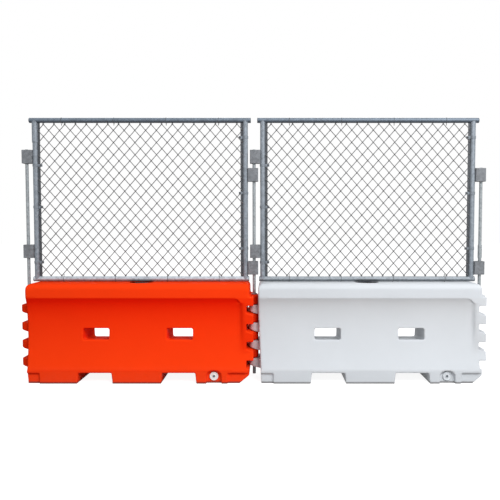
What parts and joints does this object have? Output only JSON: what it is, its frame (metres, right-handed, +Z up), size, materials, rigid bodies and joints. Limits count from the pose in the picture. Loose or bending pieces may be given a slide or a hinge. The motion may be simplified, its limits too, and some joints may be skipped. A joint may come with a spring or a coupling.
{
  "type": "barrier-mounted chain-link fence",
  "caption": "Chain-link fence panels in tube frames standing on hollow water-filled barriers, hinged end to end by lift-out drop pins.",
  "frame": {"origin": "on the ground, on the axis of the middle drop pin where the two sections meet", "axes": "+X along the fence towards the white section, +Y away from the face with the drain plugs, +Z up"},
  "size_m": [3.896, 0.457, 2.1928],
  "materials": {
    "orange_polyethylene": "rotomoulded, satin",
    "white_polyethylene": "rotomoulded, satin",
    "galvanised_steel": "hot-dip galvanised",
    "fabric_wire": "galvanised wire",
    "band_steel": "galvanised, pressed",
    "bolt_steel": "zinc plated, weathered",
    "tie_wire": "drawn wire",
    "pin_steel": "galvanised pipe",
    "end_cap_plastic": "moulded",
    "cap_plastic": "moulded",
    "plug_plastic": "moulded",
    "seal_rubber": "moulded"
  },
  "bodies": {
    "orange_section": {"orange_barrier": "orange_polyethylene", "orange_fill_gasket": "seal_rubber", "left_panel_top_rail": "galvanised_steel", "left_panel_bottom_rail": "galvanised_steel", "left_panel_left_post": "galvanised_steel", "left_panel_right_post": "galvanised_steel", "left_panel_left_tension_bar": "band_steel", "left_panel_right_tension_bar": "band_steel", "left_panel_chain_link": "fabric_wire", "left_panel_lower_left_sleeve": "galvanised_steel", "left_panel_upper_left_sleeve": "galvanised_steel", "left_panel_lower_right_sleeve": "galvanised_steel", "left_panel_upper_right_sleeve": "galvanised_steel", "left_panel_tension_bands": "band_steel", "left_panel_band_bolts": "bolt_steel", "left_panel_band_nuts": "bolt_steel", "left_panel_rail_ties": "tie_wire", "left_panel_rail_end_caps": "end_cap_plastic", "left_panel_head_sleeve": "galvanised_steel"},
    "white_section": {"white_barrier": "white_polyethylene", "white_fill_gasket": "seal_rubber", "right_panel_top_rail": "galvanised_steel", "right_panel_bottom_rail": "galvanised_steel", "right_panel_left_post": "galvanised_steel", "right_panel_right_post": "galvanised_steel", "right_panel_left_tension_bar": "band_steel", "right_panel_right_tension_bar": "band_steel", "right_panel_chain_link": "fabric_wire", "right_panel_lower_left_sleeve": "galvanised_steel", "right_panel_upper_left_sleeve": "galvanised_steel", "right_panel_lower_right_sleeve": "galvanised_steel", "right_panel_upper_right_sleeve": "galvanised_steel", "right_panel_tension_bands": "band_steel", "right_panel_band_bolts": "bolt_steel", "right_panel_band_nuts": "bolt_steel", "right_panel_rail_ties": "tie_wire", "right_panel_rail_end_caps": "end_cap_plastic"},
    "left_pin": {"left_pin_lower_rod": "pin_steel", "left_pin_upper_rod": "pin_steel", "left_pin_coupling": "pin_steel", "left_pin_stop_collar": "pin_steel"},
    "middle_pin": {"middle_pin_lower_rod": "pin_steel", "middle_pin_upper_rod": "pin_steel", "middle_pin_coupling": "pin_steel", "middle_pin_stop_collar": "pin_steel"},
    "right_pin": {"right_pin_lower_rod": "pin_steel", "right_pin_upper_rod": "pin_steel", "right_pin_coupling": "pin_steel", "right_pin_stop_collar": "pin_steel"},
    "orange_fill_cap": {"orange_fill_cap": "cap_plastic"},
    "orange_drain_gasket": {"orange_drain_gasket": "seal_rubber"},
    "orange_drain_plug": {"orange_drain_plug": "plug_plastic"},
    "white_fill_cap": {"white_fill_cap": "cap_plastic"},
    "white_drain_gasket": {"white_drain_gasket": "seal_rubber"},
    "white_drain_plug": {"white_drain_plug": "plug_plastic"}
  },
  "joints": [
    {"name": "section_pivot", "type": "hinge", "parent": "orange_section", "child": "white_section", "pos_m": [0, 0, 0.4], "axis": [0, 0, 1], "range_deg": [-10, 10]},
    {"name": "left_pin_lift", "type": "slide", "parent": "orange_section", "child": "left_pin", "axis": [0, 0, 1], "range_m": [0, 1.4]},
    {"name": "middle_pin_lift", "type": "slide", "parent": "orange_section", "child": "middle_pin", "axis": [0, 0, 1], "range_m": [0, 1.9]},
    {"name": "right_pin_lift", "type": "slide", "parent": "white_section", "child": "right_pin", "axis": [0, 0, 1], "range_m": [0, 1.2]},
    {"name": "orange_cap_turn", "type": "hinge", "parent": "orange_section", "child": "orange_fill_cap", "pos_m": [-0.954, 0, 0.79], "axis": [0, 0, 1], "range_deg": [0, 90]},
    {"name": "orange_plug_travel", "type": "slide", "parent": "orange_section", "child": "orange_drain_gasket", "axis": [0, -1, 0], "range_m": [0, 0.0151]},
    {"name": "orange_plug_turn", "type": "hinge", "parent": "orange_drain_gasket", "child": "orange_drain_plug", "pos_m": [-0.325, -0.2, 0.058], "axis": [0, -1, 0], "range_deg": [0, 1080]},
    {"name": "white_cap_turn", "type": "hinge", "parent": "white_section", "child": "white_fill_cap", "pos_m": [0.954, 0, 0.79], "axis": [0, 0, 1], "range_deg": [0, 90]},
    {"name": "white_plug_travel", "type": "slide", "parent": "white_section", "child": "white_drain_gasket", "axis": [0, -1, 0], "range_m": [0, 0.0151]},
    {"name": "white_plug_turn", "type": "hinge", "parent": "white_drain_gasket", "child": "white_drain_plug", "pos_m": [1.583, -0.2, 0.058], "axis": [0, -1, 0], "range_deg": [0, 1080]}
  ],
  "couplings": [
    {"joint": "orange_plug_travel", "follows": "orange_plug_turn", "m_per_rad": 0.00079577},
    {"joint": "white_plug_travel", "follows": "white_plug_turn", "m_per_rad": 0.00079577}
  ]
}
